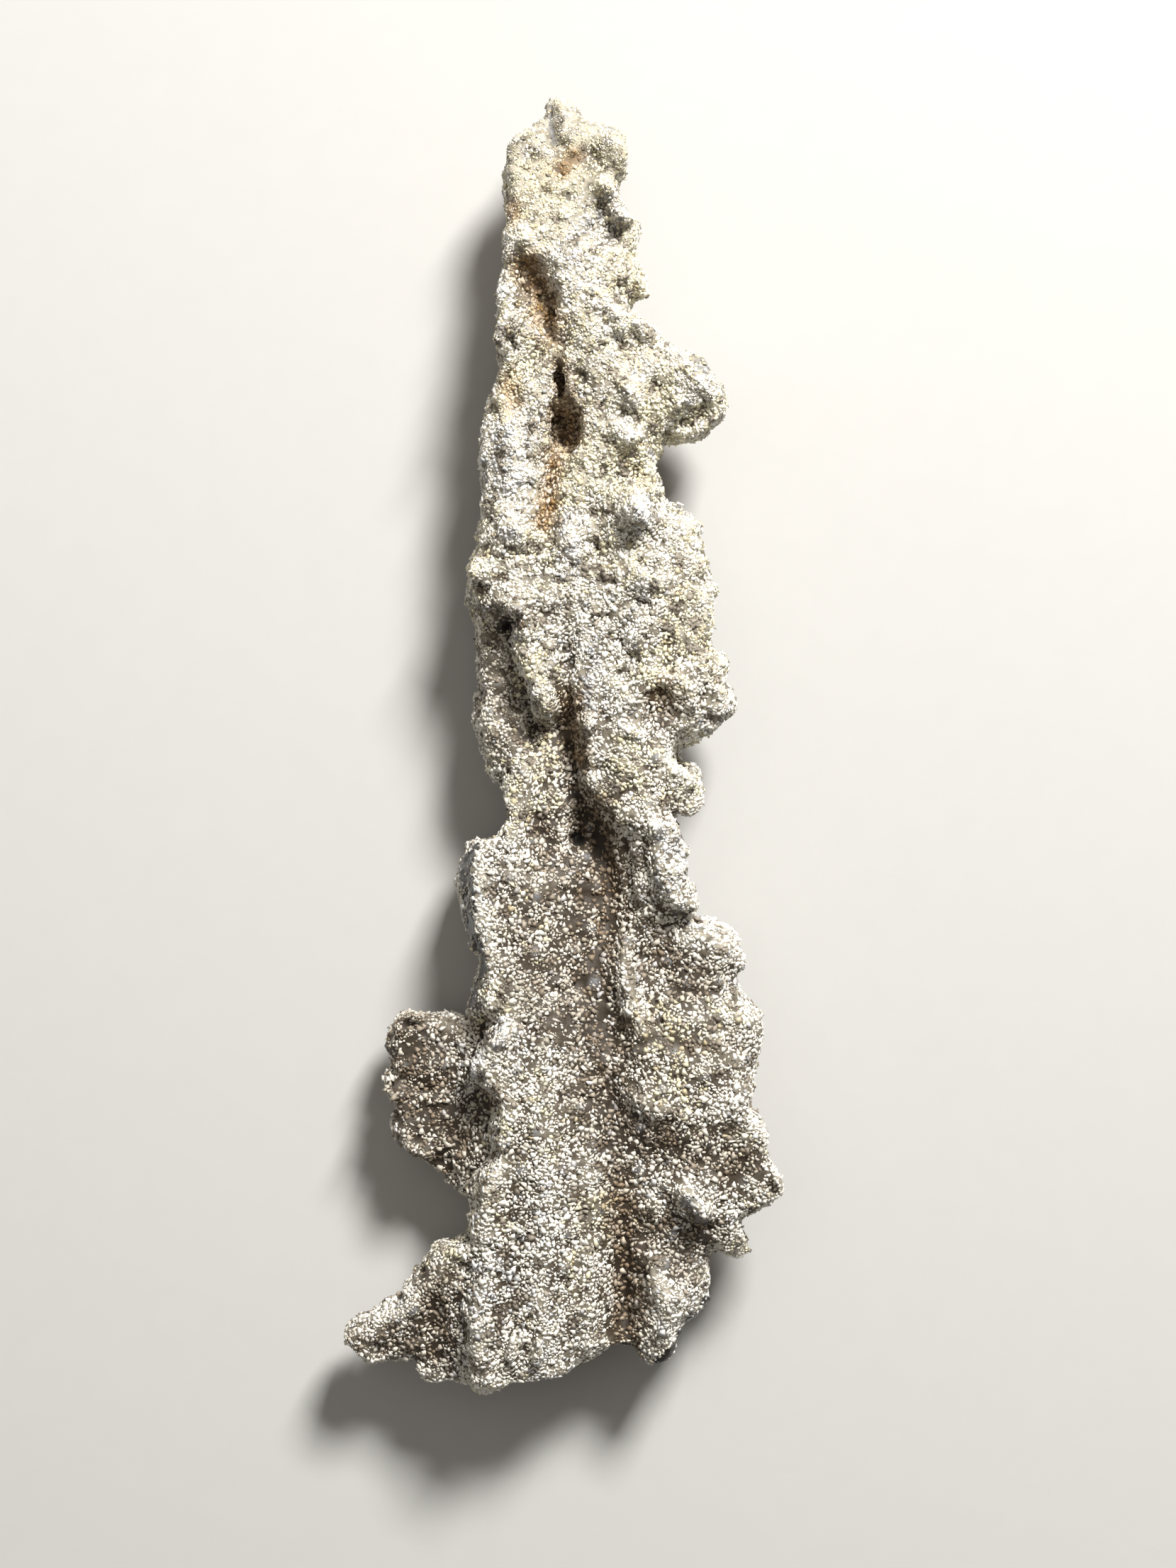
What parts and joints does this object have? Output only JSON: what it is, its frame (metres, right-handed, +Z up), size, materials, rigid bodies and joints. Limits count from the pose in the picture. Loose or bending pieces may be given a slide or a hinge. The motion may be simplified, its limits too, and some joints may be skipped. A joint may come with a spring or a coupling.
{
  "type": "fulgurite",
  "caption": "Fused sand tube from a lightning strike, collapsed flat, with knobbly ridges round a long furrow, thin fins and a broken root, lying on its back.",
  "frame": {"origin": "on the surface it lies on, under the middle of its bounding box", "axes": "+Y runs from the broad broken root to the tip, +Z points up out of the knobbly front with the furrow, +X is to the right seen from above"},
  "size_m": [0.0388, 0.1158, 0.0167],
  "materials": {
    "fused_sand": "matt crust of pale sand grains fused to dark grey glass, glassy on the knob tips and broken edges"
  },
  "bodies": {
    "root": {"fulgurite": "fused_sand"}
  },
  "joints": []
}
